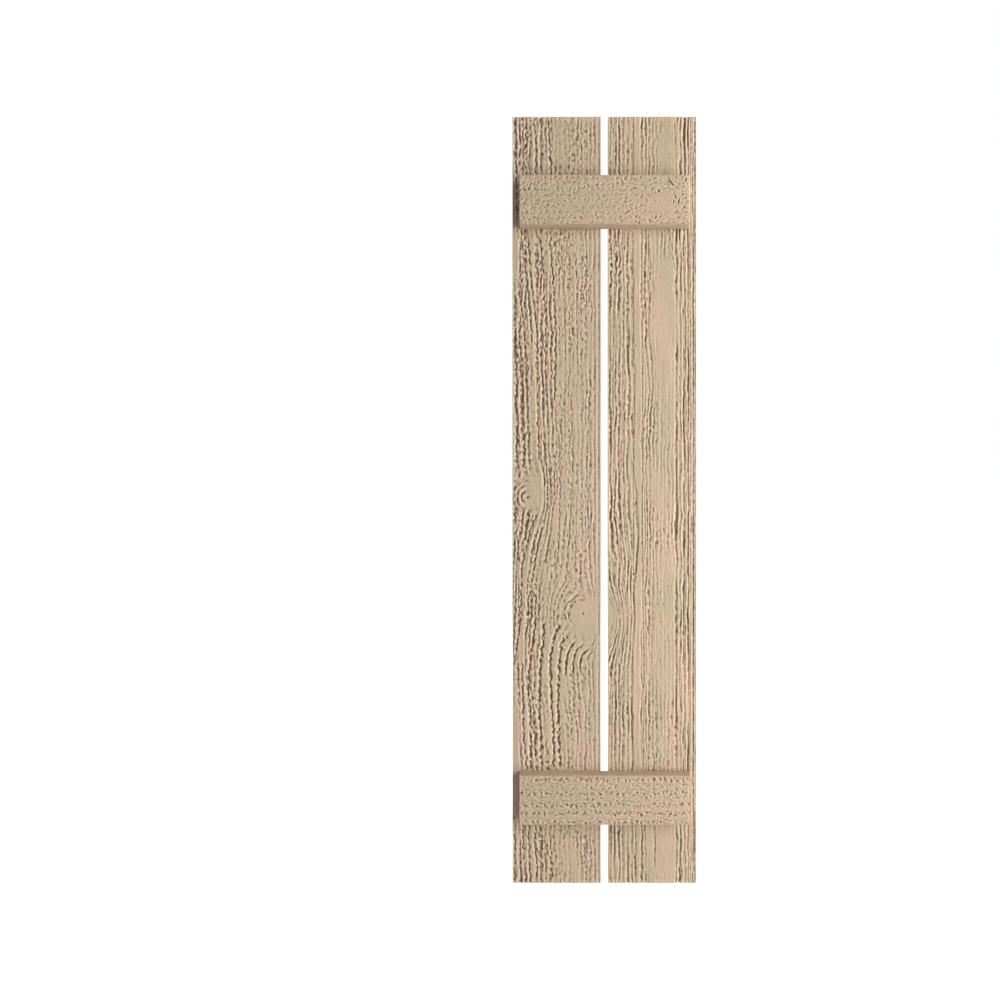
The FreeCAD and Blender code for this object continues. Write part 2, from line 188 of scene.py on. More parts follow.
def flecks(u, v, rows, seed):
    """Depth of the short slanted flecks that are torn out of a batten's grain along its rows."""
    depth = np.zeros_like(u)
    strength = 0.3
    for row in rows:
        waver = 2 * noise(v / 40, v * 0 + row.across, seed)
        reach = 1.5 * row.scatter + 1.5
        strength = np.maximum(strength, row.swell * np.exp(-(((u - row.across - waver) / reach) ** 2)))
        for beside in (-1, 0, 1):
            number = np.floor(v / row.pitch).astype(int) + beside

            def chance(which):
                return lattice(number, int(10 * row.across), seed + which)

            along = (number + 0.15 + 0.7 * chance(1)) * row.pitch
            across = row.across + row.scatter * (2 * chance(2) - 1) + waver
            slant = np.where(chance(4) > 0.5, 1, -1) * (0.6 + 0.8 * chance(3))
            x, y = turned(v - along, u - across, slant)
            r = np.hypot(x / (row.length * (0.6 + 0.6 * chance(5))), y / row.width)
            r += 0.3 * noise(u / 2, v / 2, seed + 7)
            deep = row.depth * np.clip(0.1 + 1.1 * chance(6), 0, 1)
            depth = np.maximum(depth, deep * np.clip(1 - r**2, 0, 1)) - LIP * deep * raised_rim(r)
    swell = 0.9 * noise((v + 0.5 * u) / 4.6, (u - 0.3 * v) / 4.4, seed + 8)
    swell += 0.8 * noise((v + 0.6 * u) / 6.5, (u - 0.2 * v) / 3.4, seed + 9)
    return depth + strength * swell + 0.12 * noise(v / 16, u / 4, seed + 10)


def carve_groove(depth, u, v, groove, seed):
    """Deepens the relief along a groove's path, given from its top end down."""
    across, along = np.array(groove.path[::-1], float).T
    fine = np.linspace(along[0], along[-1], 80)
    middle = np.interp(fine, along, across)
    soft = np.hanning(15) / np.hanning(15).sum()
    middle = np.convolve(np.pad(middle, 7, mode="reflect", reflect_type="odd"), soft, mode="valid")
    lean = np.gradient(middle, fine)
    away = np.abs(u - np.interp(v, fine, middle))
    reach = (6 * groove.width) * np.sqrt(1 + np.interp(v, fine, lean) ** 2)
    near = (away < reach) & (v > along[0] - 5) & (v < along[-1] + 5)
    u, v = u[near], v[near]
    wander = 2.4 * noise(v / 9, v * 0 + seed, seed) + 1.5 * noise(v / 4, v * 0 + seed, seed + 7)
    off = u - np.interp(v, fine, middle) - groove.raggedness * wander
    tear = 0.9 + 1.5 * groove.raggedness * noise((off + 0.3 * v) / 3.4, v / 6.5, seed + 3)
    off = np.abs(off) / np.sqrt(1 + np.interp(v, fine, lean) ** 2)
    width = 0.8 + 0.6 * noise(v / 6, v * 0 + 3.3, seed + 11)
    width += 0.5 * groove.raggedness * noise(u / 2.4, v / 3.4, seed + 5)
    width = np.maximum(groove.width * width, 0.5)
    ends = step(along[0] - 4, along[0] + 8, v) * (1 - step(along[-1] - 6, along[-1] + 3, v))
    shoulder = np.exp(-((off / (2 * groove.width)) ** 2)) * ends
    cut = groove.depth * np.clip(1 - (off / width) ** 2, 0, 1) * ends * np.clip(tear, 0.15, 1.15)
    depth[near] = np.maximum(depth[near] * (1 - (0.85 - 0.4 * groove.raggedness) * shoulder), cut)


def carve_knot(depth, u, v, knot, seed):
    """Evens out the wood over a knot and cuts its rings, deepest on the side they are given."""
    x, y = (u - knot.across) / knot.reach_across, (v - knot.along) / knot.reach_along
    r = np.hypot(x, y) + 0.1 * noise(u / 9, v / 11, seed) + 0.03 * noise(u / 3, v / 3, seed + 1)
    depth *= 0.12 + 0.88 * step(0.85, 1.5, r)
    side = math.radians(knot.side)
    towards = x * math.cos(side) + y * math.sin(side)
    facing = np.clip(0.1 + towards / np.maximum(np.hypot(x, y), 0.05), 0, 1)
    facing = facing * np.clip(0.9 + 1.1 * noise(u / 5, v / 6, seed + 2), 0, 1.2)
    for ring in knot.rings:
        off = np.abs(r - ring) * knot.reach_across
        depth = np.maximum(depth, knot.depth * np.clip(1 - (off / 2.2) ** 2, 0, 1) * facing)
    turns = r * knot.reach_across / 6 + 0.5 * noise(u / 12, v / 12, seed + 4)
    swirl = 0.5 - 0.5 * np.cos(2 * np.pi * turns)
    swirl = swirl * np.clip(0.5 + noise(u / 9, v / 9, seed + 3), 0, 1)
    return depth + 0.4 * swirl * np.exp(-(((r - 1.4) / 0.45) ** 2))


def relief(u, v, grain):
    """Depth of the carved face at places across and along, and the unbent place across of its grain."""
    seed = grain.seed
    s = bent_across(u, v, grain.bends)
    depth = grain_lines(s, u, v, grain)
    if grain.rows:
        depth += flecks(u, v, grain.rows, seed + 61)
    for place in grain.calms:
        depth *= 1 - place.strength * patch(u, v, place, seed + 13)
    for knot in grain.knots:
        depth = carve_knot(depth, u, v, knot, seed + 21)
    for count, groove in enumerate(grain.grooves):
        carve_groove(depth, u, v, groove, seed + 31 + 17 * count)
    for pit in grain.pits:
        x, y = turned(u - pit.across, v - pit.along, math.radians(pit.lean))
        r = np.hypot(x / max(pit.length, pit.radius), y / pit.radius)
        depth = np.maximum(depth - LIP * pit.depth * raised_rim(r), pit.depth * np.clip(1.1 - r**2, 0, 1))
    fuzz = 0.12 * noise(s / 2.6, v / 9, seed + 41) + 0.14 * noise(s / 2.2, v / 3.2, seed + 42)
    wave = 0.2 * noise(s / 16, v / 60, seed + 43)
    return np.clip(depth + fuzz + wave + FACE_WEAR, 0, DEEPEST), s


# The main lines of open grain, which the solids have too: places in percent of the board's width from its
# left edge, and in percent of its height up from the middle.
LEFT_TORN_LINES = [
    [(26.4, -15.3), (22.8, -18.9), (18.5, -22.1), (17.8, -25.3), (20.7, -28.5), (20.7, -35.3)],
    [(35.6, -16.1), (34.9, -18), (31.4, -21.5), (29.9, -26.7), (32.1, -30.5), (33.2, -35.4)],
    [(53.1, -16.2), (46.3, -18.2), (42.8, -20.5), (42.8, -23.4), (45.6, -29.6), (47, -35.1)],
    [(62, -17.6), (54.9, -18.7), (52.7, -21.5), (51.3, -26.2), (52, -29.6), (54.2, -34.8)],
]
LEFT_SHORT_ARCHES = [
    [(70.6, -18.5), (65.6, -19.2), (62, -20.3), (60.6, -21.5), (59.9, -23)],
    [(80.5, -18.8), (73.4, -19.5), (69.9, -20.3), (68.4, -21.5), (69.1, -22.8)],
    [(91.2, -19.4), (84.1, -19.6), (78.4, -20.3), (76.3, -21.5), (77, -22.6)],
]
LEFT_OPEN_LINES = [
    [(2.9, 50.3), (3.2, 45.9), (5, 41), (5.7, 36.5)],
    [(10.7, 50.3), (12.1, 45.9), (10.7, 41), (12.1, 36.5)],
    [(23.5, 50.3), (26.9, 45.9), (25.7, 42.7), (28.5, 40.2)],
    [(39.9, 50.3), (42.1, 45.9), (43.5, 42.7), (42.8, 36.5)],
    [(5.7, 28.9), (12.7, 22.9), (16.2, 14.4), (19.1, 3.9)],
    [(9.2, 34.3), (14.8, 30), (21, 22.9), (21.6, 20.3)],
    [(16.7, 35.1), (21.6, 27.6), (27.8, 22.1), (27.8, 14.8), (29.9, 5.1)],
    [(29.8, 34.4), (32.9, 32.4), (34.9, 28.7), (37.8, 22.1), (37.1, 16.9), (39.9, 9.7)],
    [(42.2, 33.7), (45.9, 28.7), (49, 21.3), (47, 13)],
    [(29.2, -1.6), (20.7, -3.4), (15.7, -6.2), (10.7, -8.2), (9.3, -15.3), (1.4, -21.7)],
    [(11.4, -21.2), (10.7, -22.6), (11.8, -26.2), (12.1, -30.3), (16.4, -35.3)],
    [(2.1, -41), (2.9, -45.9), (2.1, -50.3)],
    [(10.5, -36.5), (11.4, -41.8), (12.1, -45.9), (15.7, -50.3)],
    [(17.8, -41), (18.5, -45.9), (20.7, -50.3)],
    [(32.8, -36.5), (31.4, -41.8), (31, -45.9), (32.8, -50.3)],
]
LEFT_FINE_LINES = [
    [(55.2, 33.5), (57, 28), (59, 23.5), (60, 18)],
    [(69.9, 32.4), (73.4, 28.5), (72.3, 24), (74, 17)],
    [(52, 9), (54, 2), (52, -6), (47, -12)],
    [(66, 14), (68, 6), (66, -2), (60, -11)],
    [(86, 12), (84, 4), (86, -4), (88, -10.5)],
]
RIGHT_OPEN_LINES = [
    [(6.4, 50.3), (5.7, 44.3), (6.4, 36.9)],
    [(17.1, 50.3), (16.4, 44.3), (17.8, 36.9)],
    [(93.4, 50.3), (92.7, 32.8), (93.7, 16.4), (93, 0), (93.7, -16.4), (92.7, -32.8), (93.4, -50.3)],
    [(87, 35.3), (84.8, 32.8), (87.7, 24.6), (88.4, 8.2), (88.4, -8.2), (87, -24.6), (87.7, -36.1)],
    [(28.5, 50.3), (28.9, 44.3), (27.8, 32), (28.9, 20.5), (29.9, 12.3), (28.5, 4.9), (28.9, -10)],
    [(37.8, 36.1), (38.5, 24.6), (39.2, 9.8), (38.5, -4.9), (40.6, -18), (39.9, -36.1)],
    [(18.5, 1), (20.7, -3.3), (24.2, -6.6), (26.7, -8.7)],
    [(5.7, 36.1), (7.1, 27.1), (5, 16.4), (6.4, 7.4), (5.7, 1.6)],
    [(15.7, 36.1), (17.8, 27.1), (17.1, 19.7), (15.7, 9.8), (14.3, 3.3)],
    [(4.3, -7.4), (10, -11.5), (13.5, -15.8), (10, -20.2), (5, -24.6), (3.6, -36.1)],
    [(12.8, -4.1), (16.4, -9), (22.5, -15.8), (20, -19.7), (14.3, -24.6), (12.1, -36.1)],
    [(15.7, -36.9), (16.4, -43.5), (17.1, -50.3)],
    [(30.6, -36.9), (31.4, -45.1), (31, -50.3)],
    [(52, -41.8), (53.5, -44.7), (52.7, -48)],
    [(87.7, -36.9), (87, -43.5), (88.4, -50.3)],
]
RIGHT_FINE_LINES = [
    [(75, 50.3), (77, 44), (78.5, 37)],
    [(45.6, 31.6), (45.2, 27), (46.3, 20)],
    [(80.5, 34), (82, 22), (81, 8), (82, -8), (80.5, -22), (81.5, -36)],
    [(50, -2), (51.5, -9), (49, -18), (50, -26)],
]

# The line just inside each board's right edge, in millimetres
LEFT_EDGE_LINE = [(136.5, 607), (137, 300), (136.5, 0), (137, -300), (136.5, -607)]
RIGHT_EDGE_LINE = [(138, 607), (137.8, 440), (135, 390), (136.5, 100), (135.5, -350), (137, -607)]

BOARD_LOW, BOARD_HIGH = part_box(LEFT_BOARD)
BOARD_WIDTH = (BOARD_HIGH[0] - BOARD_LOW[0]) / MM
BOARD_HEIGHT = (BOARD_HIGH[2] - BOARD_LOW[2]) / MM


def grooves_along(lines, width, depth, raggedness):
    """Grooves along lines that are given in percent of a board's width and height."""
    paths = [[(x / 100 * BOARD_WIDTH, y / 100 * BOARD_HEIGHT) for x, y in line] for line in lines]
    return [Groove(path, width, depth, raggedness) for path in paths]


LEFT_GRAIN = Grain(
    seed=11,
    bends=[
        Bend(40, 10, 14, 26, 55),
        Bend(35, 110, 5, 30, 90),
        Bend(45, -130, -12, 38, 70),
        Bend(45, -250, -20, 55, 90),
        Bend(30, -400, -8, 40, 90),
        Bend(80, -180, -14, 24, 42),
        Bend(128, -185, 10, 16, 50),
    ],
    bands=[
        Band(-40, 9, 1.9, 0.6),
        Band(0, 8, 1.9, 0.8),
        Band(24, 8, 1.9, 0.8),
        Band(28, 9, 0.6, 0.6),
        Band(34, 9, 0.8, 0.6),
        Band(40, 8, 1.9, 0.8),
        Band(49, 8, 1.6, 0.8),
        Band(54, 8, 0.9, 0.6),
        Band(60, 7, 1.3, 0.8),
        Band(66, 6.5, 0.75, 1.0),
        Band(80, 8.5, 0.68, 1.1),
        Band(96, 5.6, 0.65, 1.0),
        Band(110, 7.5, 0.68, 1.0),
        Band(126, 6.5, 0.8, 0.6),
        Band(130, 8, 0.9, 0.3),
        Band(132, 8, 0.2, 0.1),
        Band(137, 8, 0.2, 0.1),
        Band(139, 8, 1.2, 0.1),
        Band(200, 12, 0.4, 0.2),
    ],
    calms=[
        Place(32, 12, 22, 36, 0.85),
        Place(112, -195, 30, 34, 0.8),
        Place(3, 385, 9, 48, 0.9),
        Place(2, 478, 18, 66, 0.8),
        Place(2, -478, 18, 66, 0.8),
        Place(0, -370, 12, 120, 0.85),
        Place(0, -560, 9, 50, 0.7),
    ],
    roughs=[Place(95, 330, 40, 80, 0.4)],
    knots=[
        Knot(23.6, 4, 15, 17, 2.0, 172, (0.6, 1.1, 1.55)),
        Knot(112, -181, 26, 25, 1.3, 155, (0.92, 1.15)),
    ],
    grooves=[
        *grooves_along(LEFT_TORN_LINES, 3.3, 2.9, 0.9),
        *grooves_along(LEFT_SHORT_ARCHES, 2.7, 2.5, 0.5),
        *grooves_along(LEFT_OPEN_LINES, 2.1, 2.4, 0.9),
        Groove([(131, -238), (122, -246), (118, -257)], 1.8, 1.4, 0.4),
        Groove([(10.5, -35), (2.4, -61)], 2.0, 1.6, 0.5),
        *grooves_along(LEFT_FINE_LINES, 1.5, 1.5, 0.8),
        Groove(LEFT_EDGE_LINE, 1.7, 0.9, 0.15),
    ],
    pits=[
        Pit(83.6, -151, 1.6, 1.6),
        Pit(72.5, -165, 1.6, 1.5),
        Pit(112, -181, 2, 1.6),
        Pit(121, -181, 1.3, 0.8),
        Pit(24, 3.5, 2.4, 2),
        Pit(28, 4.8, 1.4, 1.4),
        Pit(20.6, 2.4, 1.4, 1.2),
        Pit(24.6, 7, 1.2, 1.0),
    ],
)

RIGHT_GRAIN = Grain(
    seed=77,
    bends=[
        Bend(-4, -193, 33, 30, 44),
        Bend(60, 180, 6, 24, 60),
        Bend(26, -95, 8, 24, 48),
        Bend(50, -30, 9, 12, 70),
    ],
    bands=[
        Band(-60, 6, 0.9, 0.3),
        Band(-10, 6, 0.9, 0.35),
        Band(0, 7.4, 1.3, 0.4),
        Band(3.7, 7.4, 1.4, 0.4),
        Band(4.2, 6.85, 1.4, 0.4),
        Band(36, 6.85, 1.5, 0.3),
        Band(40.5, 6.85, 1.5, 0.1),
        Band(43.5, 9, 0.3, 0.1),
        Band(49, 9, 0.3, 0.1),
        Band(53, 5.8, 1.4, 0.3),
        Band(64, 5.8, 1.2, 0.4),
        Band(70, 6, 0.75, 0.6),
        Band(103, 6.4, 0.7, 0.5),
        Band(107, 6.4, 1.7, 0.2),
        Band(124, 6.4, 2.3, 0.1),
        Band(150, 6.4, 2.3, 0.1),
        Band(230, 8, 1.0, 0.2),
    ],
    calms=[
        Place(92, 290, 20, 100, 0.9),
        Place(97, 160, 14, 60, 0.5),
        Place(84, -560, 26, 64, 0.75),
        Place(98, 560, 20, 56, 0.8),
        Place(86, 10, 18, 50, 0.5),
        Place(88, -240, 20, 190, 0.4),
    ],
    roughs=[Place(15, 400, 24, 60, 0.7), Place(60, 330, 12, 50, 0.4)],
    knots=[],
    grooves=[
        *grooves_along(RIGHT_OPEN_LINES, 1.4, 1.3, 0.4),
        *grooves_along(RIGHT_FINE_LINES, 1.3, 1.0, 0.4),
        Groove([(122, 424), (119, 405), (120, 385), (119, 378)], 1.6, 2.3, 0.3),
        Groove([(96, 400), (103, 385), (106, 370), (107, 362)], 1.5, 1.0, 0.4),
        Groove(RIGHT_EDGE_LINE, 1.5, 1.9, 0.2),
        Groove([(131.5, 607), (131.5, 425)], 1.3, 1.4, 0.2),
        Groove([(117, -585), (117.5, -600)], 1.6, 1.7, 0.4),
        Groove([(42, -560), (43, -578), (43.5, -600)], 2.0, 2.0, 0.5),
        Groove([(62, -200), (63.5, -208), (66, -216)], 1.6, 1.8, 0.3),
        Groove([(60.5, 48), (59, 42), (57, 36)], 1.4, 1.7, 0.4),
    ],
    pits=[
        Pit(43.6, 246, 1.6, 1.6),
        Pit(41, -118, 2.6, 2.3),
        Pit(44, -124, 1.6, 1.6),
        Pit(93, -85, 1.3, 1.1),
        Pit(94.5, -137, 1.2, 1),
        Pit(108.5, -179, 1.3, 1),
    ],
)

TOP_GRAIN = Grain(
    seed=131,
    bends=[],
    bands=[Band(-20, 9, 0.25, 0.5), Band(100, 9, 0.25, 0.5)],
    calms=[Place(44, 92, 19, 26, 0.75)],
    roughs=[],
    knots=[],
    grooves=[],
    pits=[
        Pit(11.2, 103.6, 1.6, 1.6, 9.5, 36),
        Pit(10.5, 99, 1.3, 0.9, 6, 30),
        Pit(19.2, 112.5, 1.4, 1.2, 3.5, 80),
        Pit(24.8, 84.5, 2.4, 1.6, 3.2, 20),
        Pit(33.5, 110.8, 1.3, 1.1, 4.5, 7),
        Pit(41.4, 115.9, 1.5, 1.6, 5.5, -9),
        Pit(41.6, 107.8, 1.2, 1.0, 3.8, 3),
        Pit(7.7, 126.5, 1.5, 1.4, 4, -24),
        Pit(35.8, 126.8, 1.3, 1.1, 3, -18),
        Pit(43.6, 127.5, 1.2, 0.9, 3, 0),
        Pit(66, 80, 1.8, 1.3, 2.6, 0),
        Pit(66.3, 115.7, 1.6, 1.3, 2.4, 0),
    ],
    rows=[Row(across, 3.0, 7.5, 3.4, 1.9, 0.7, 0.75) for across in (5, 13, 21, 30, 39, 48, 57, 66, 74)],
)
BOTTOM_GRAIN = TOP_GRAIN._replace(
    seed=171,
    calms=[],
    pits=[],
    rows=[
        Row(7, 2, 9, 3.4, 2.2, 1.4, 1.05),
        Row(18, 4, 12, 2.6, 1.7, 0.9, 0.5),
        Row(28, 2, 8, 3.4, 2.2, 1.5, 1.15),
        Row(37, 4, 12, 2.6, 1.7, 0.9, 0.5),
        Row(46, 2, 8, 3.4, 2.2, 1.5, 1.15),
        Row(59, 2, 9, 3.2, 2.1, 1.4, 1.15),
        Row(72, 2, 9, 3.2, 2.1, 1.4, 1.05),
    ],
)


# Planks: a strip of faces wound round the plank's sides, row by row along it, and an end face at each end

Section = namedtuple("Section", "across inward push_across push_inward reach face_share side_share round")

ARRIS = 0.8
END_EASE = 0.8
SAW_DEPTH = 0.1
SIDE_STEPS = 5
ARRIS_TURNS = 3
BOARD_BLURS = 2
BATTEN_BLURS = 8

# A plank's bake map holds the strip at its left, and the two ends and the screw holes at its right.
BAKE_MAP = "OFBake"
STRIP_SHARE = 0.93
MAP_MARGIN = 0.01
ENDS_AT = 0.95
HOLES_AT = 0.955


def section_points(width, thickness, columns):
    """The points round a plank's section, from its back left corner over its face to its back right one.

    Each has its place, the way in which the relief is carved there, its place in the relief, and how much
    of the face's and of the side's relief it takes.
    """
    points = []
    for i in range(SIDE_STEPS):
        inward = thickness - (thickness - ARRIS) * i / SIDE_STEPS
        reach = -(inward - ARRIS) - ARRIS * math.pi / 2
        points.append((0, inward, 1, 0, reach, 0, min(i, 1)))
    for i in range(ARRIS_TURNS + 1):
        share = i / ARRIS_TURNS
        angle = math.pi / 2 * i / ARRIS_TURNS
        place = (ARRIS * (1 - math.cos(angle)), ARRIS * (1 - math.sin(angle)))
        reach = ARRIS * (angle - math.pi / 2)
        points.append((*place, math.cos(angle), math.sin(angle), reach, share, 1 - share))
    right = [(width - a, i, -pa, pi, width - r, face, side) for a, i, pa, pi, r, face, side in points]
    middle = [(a, 0, 0, 1, a, 1, 0) for a in np.linspace(ARRIS, width - ARRIS, columns + 1)[1:-1]]
    points = np.array(points + middle + right[::-1], float).T
    steps = np.hypot(np.diff(points[0]), np.diff(points[1]))
    return Section(*points, round=np.concatenate([[0], np.cumsum(steps)]))


def wound_faces(count, ring):
    """The faces of a strip wound round a plank, count rows of ring points, then its low and high ends."""
    index = np.arange(count * ring).reshape(count, ring)
    wrapped = np.concatenate([index, index[:, :1]], axis=1)
    corners = [wrapped[:-1, :-1], wrapped[:-1, 1:], wrapped[1:, 1:], wrapped[1:, :-1]]
    strip = np.stack(corners, axis=-1).reshape(-1, 4).tolist()
    return strip + [index[0, ::-1].tolist(), index[-1].tolist()]


def bake_map(section, along, place, width, thickness, length):
    """The plank's places on its bake map: the wound strip first, then the low and the high end."""
    girth = section.round[-1] + width
    wound = np.append(section.round, girth)
    across = np.stack([wound[:-1], wound[1:], wound[1:], wound[:-1]], axis=-1) / girth * STRIP_SHARE
    up = (along + length / 2) / length * 0.98 + MAP_MARGIN
    up = np.stack([up[:-1], up[:-1], up[1:], up[1:]], axis=-1)[:, None]
    strip = np.stack(np.broadcast_arrays(across, up), axis=-1).reshape(-1, 2)
    end = np.stack([place[0, :, 1] / thickness * 0.04, place[0, :, 0] / width * 0.45], axis=-1)
    low_end = end[::-1] + (ENDS_AT, 0.02)
    high_end = end + (ENDS_AT, 0.52)
    return np.concatenate([strip, low_end, high_end])


def mark_sharp_edges(mesh, count, ring):
    """Keeps the back's edges and the rims of both ends sharp under the smooth shading."""
    pairs = np.empty(len(mesh.edges) * 2, np.int64)
    mesh.edges.foreach_get("vertices", pairs)
    pairs = pairs.reshape(-1, 2)
    column, row = pairs % ring, pairs // ring
    back = (column[:, 0] == column[:, 1]) & np.isin(column[:, 0], [0, ring - 1])
    rims = (row[:, 0] == row[:, 1]) & np.isin(row[:, 0], [0, count - 1])
    mesh.attributes.new("sharp_edge", "BOOLEAN", "EDGE").data.foreach_set("value", back | rims)


def make_plank(node, grain, columns, rows, lies_across):
    """A board or batten as one closed mesh, with its relief, its bake map and what its finish needs."""
    low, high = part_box(node)
    size = [(b - a) / MM for a, b in zip(low, high)]
    length, width = (size[0], size[2]) if lies_across else (size[2], size[0])
    thickness = size[1]
    section = section_points(width, thickness, columns)
    along = np.linspace(-length / 2 + END_EASE, length / 2 - END_EASE, rows - 2)
    along = np.concatenate([[-length / 2], along, [length / 2]])
    u, v = np.meshgrid(section.reach, along)
    carved, unbent = relief(u, v, grain)
    saw_marks = SAW_DEPTH * (1 + noise(section.inward / 2.2 + 0 * v, v / 26, grain.seed + 51))
    depth = carved * section.face_share + saw_marks * section.side_share
    depth[[0, -1]] += END_EASE * section.face_share
    place = np.empty((*depth.shape, 3))
    place[..., 0] = section.across + section.push_across * depth
    place[..., 1] = section.inward + section.push_inward * depth
    place[..., 2] = v
    near = blurred(depth, BATTEN_BLURS if lies_across else BOARD_BLURS)
    # How far each point lies below the blurred relief around it, negative where it stands above; the finish
    # paints shade into the deep places and a highlight onto the raised ones.
    hollow = np.clip((depth - near) / 0.8 + 0.25 * (depth - 0.6), -1, 1)

    to_right, to_back, to_end = place.reshape(-1, 3).T * MM
    if lies_across:
        points = ((low[0] + high[0]) / 2 + to_end, low[1] + to_back, high[2] - to_right)
    else:
        points = (low[0] + to_right, low[1] + to_back, (low[2] + high[2]) / 2 + to_end)
    count, ring = depth.shape
    mesh = bpy.data.meshes.new(node + "_wood")
    mesh.from_pydata(np.stack(points, axis=1), [], wound_faces(count, ring))
    smooth = np.ones(len(mesh.polygons), bool)
    smooth[-2:] = False
    smooth[ring - 1 : -2 : ring] = False
    mesh.polygons.foreach_set("use_smooth", smooth)
    mark_sharp_edges(mesh, count, ring)

    corners = np.empty(len(mesh.loops), np.int32)
    mesh.loops.foreach_get("vertex_index", corners)
    grain_place = np.stack([unbent, depth, v], axis=-1).reshape(-1, 3)[corners]
    on_map = bake_map(section, along, place, width, thickness, length)
    grain_layer = mesh.attributes.new("grain_place", "FLOAT_VECTOR", "CORNER")
    grain_layer.data.foreach_set("vector", grain_place.ravel())
    hollow_layer = mesh.attributes.new("hollow", "FLOAT", "CORNER")
    hollow_layer.data.foreach_set("value", hollow.ravel()[corners])
    mesh.uv_layers.new(name=BAKE_MAP).data.foreach_set("uv", on_map.ravel())
    plank = bpy.data.objects.new(node + "_wood", mesh)
    bpy.context.scene.collection.objects.link(plank)
    return plank


# Screw holes, which show from behind

def hole_cutter(name, centres, outline, sides=40):
    """One closed mesh per centre, turned from an outline of (radius, y) points, joined in one object."""
    verts, faces, uvs = [], [], []
    for number, (x, z) in enumerate(centres):
        first = len(verts)
        for radius, y in outline:
            for i in range(sides):
                angle = 2 * math.pi * i / sides
                verts.append((x + radius * math.cos(angle), y, z + radius * math.sin(angle)))
        rings = len(outline)
        for r in range(rings - 1):
            for i in range(sides):
                a, b = first + r * sides + i, first + r * sides + (i + 1) % sides
                faces.append((a, a + sides, b + sides, b))
                left, foot = HOLES_AT + 0.01 * number, 0.6 + 0.3 * r / rings
                span = ((i / sides, 0), (i / sides, 1), ((i + 1) / sides, 1), ((i + 1) / sides, 0))
                uvs += [(left + 0.008 * p, foot + 0.08 * q) for p, q in span]
        for r in (0, rings - 1):
            cap = [first + r * sides + i for i in range(sides)]
            faces.append(cap if r == 0 else cap[::-1])
            uvs += [(0.999, 0.999)] * sides
    mesh = bpy.data.meshes.new(name)
    mesh.from_pydata(verts, [], faces)
    mesh.uv_layers.new(name=BAKE_MAP).data.foreach_set("uv", np.array(uvs).ravel())
    cutter = bpy.data.objects.new(name, mesh)
    bpy.context.scene.collection.objects.link(cutter)
    return cutter


def cut(plank, cutter):
    """Cuts the cutter out of the plank and removes it."""
    change = plank.modifiers.new("holes", "BOOLEAN")
    change.operation, change.solver, change.object = "DIFFERENCE", "EXACT", cutter
    shape = bpy.context.evaluated_depsgraph_get()
    mesh = bpy.data.meshes.new_from_object(plank.evaluated_get(shape))
    plank.modifiers.clear()
    plank.data = mesh
    bpy.data.objects.remove(cutter)


# Finishes

class Wire:
    """A value in a material, used in Python expressions: each operation adds its Math node."""

    def __init__(self, shader, socket):
        self.shader = shader
        self.socket = socket

    def __add__(self, other):
        return self.shader.math("ADD", self, other)

    def __sub__(self, other):
        return self.shader.math("SUBTRACT", self, other)

    def __rsub__(self, other):
        return self.shader.math("SUBTRACT", other, self)

    def __mul__(self, other):
        return self.shader.math("MULTIPLY", self, other)

    __radd__ = __add__
    __rmul__ = __mul__


class Shader:
    """The nodes of one material or world."""

    def __init__(self, owner):
        owner.use_nodes = True
        self.owner = owner
        self.tree = owner.node_tree

    def socket(self, sockets, key):
        """The socket of that name, or at that place, that the node's settings leave in use."""
        if isinstance(key, int):
            return sockets[key]
        return next(s for s in sockets if s.name == key and s.enabled)

    def feed(self, node, inputs):
        """Sets or links a node's sockets by name."""
        for key, value in inputs.items():
            socket = self.socket(node.inputs, key)
            if isinstance(value, Wire):
                self.tree.links.new(value.socket, socket)
            else:
                socket.default_value = value

    def node(self, kind, settings, inputs, output=0):
        """A new node: its settings are made first, then its sockets. Gives one of its outputs."""
        node = self.tree.nodes.new(kind)
        for key, value in settings.items():
            setattr(node, key, value)
        self.feed(node, inputs)
        return Wire(self, self.socket(node.outputs, output))

    def math(self, operation, a, b):
        """A sum, difference or product of two values or numbers."""
        return self.node("ShaderNodeMath", {"operation": operation}, {0: a, 1: b})

    def blend(self, factor, a, b):
        """Colour a where the factor is 0 and colour b where it is 1."""
        settings = {"data_type": "RGBA", "clamp_factor": True}
        return self.node("ShaderNodeMix", settings, {"Factor": factor, "A": a, "B": b}, "Result")

    def ramp(self, value, low, high, to_low=0.0, to_high=1.0):
        """The value's way from low to high, as a smooth way from one number to another."""
        inputs = {"Value": value, "From Min": low, "From Max": high, "To Min": to_low, "To Max": to_high}
        return self.node("ShaderNodeMapRange", {"interpolation_type": "SMOOTHSTEP"}, inputs)

    def speckle(self, place, scale, detail=2.0, offset=(0, 0, 0)):
        """Noise from 0 to 1 whose cells are as long each way as the scale says, in millimetres."""
        factors = tuple(1 / s for s in scale)
        places = {0: place, 1: factors, 2: offset}
        stretched = self.node("ShaderNodeVectorMath", {"operation": "MULTIPLY_ADD"}, places, "Vector")
        inputs = {"Vector": stretched, "Scale": 1.0, "Detail": detail, "Roughness": 0.6}
        return self.node("ShaderNodeTexNoise", {}, inputs, "Fac")


def linear(red, green, blue):
    """A colour picked on the screen, from 0 to 255, as the renderer counts it."""
    return (*(((c / 255 + 0.055) / 1.055) ** 2.4 for c in (red, green, blue)), 1.0)


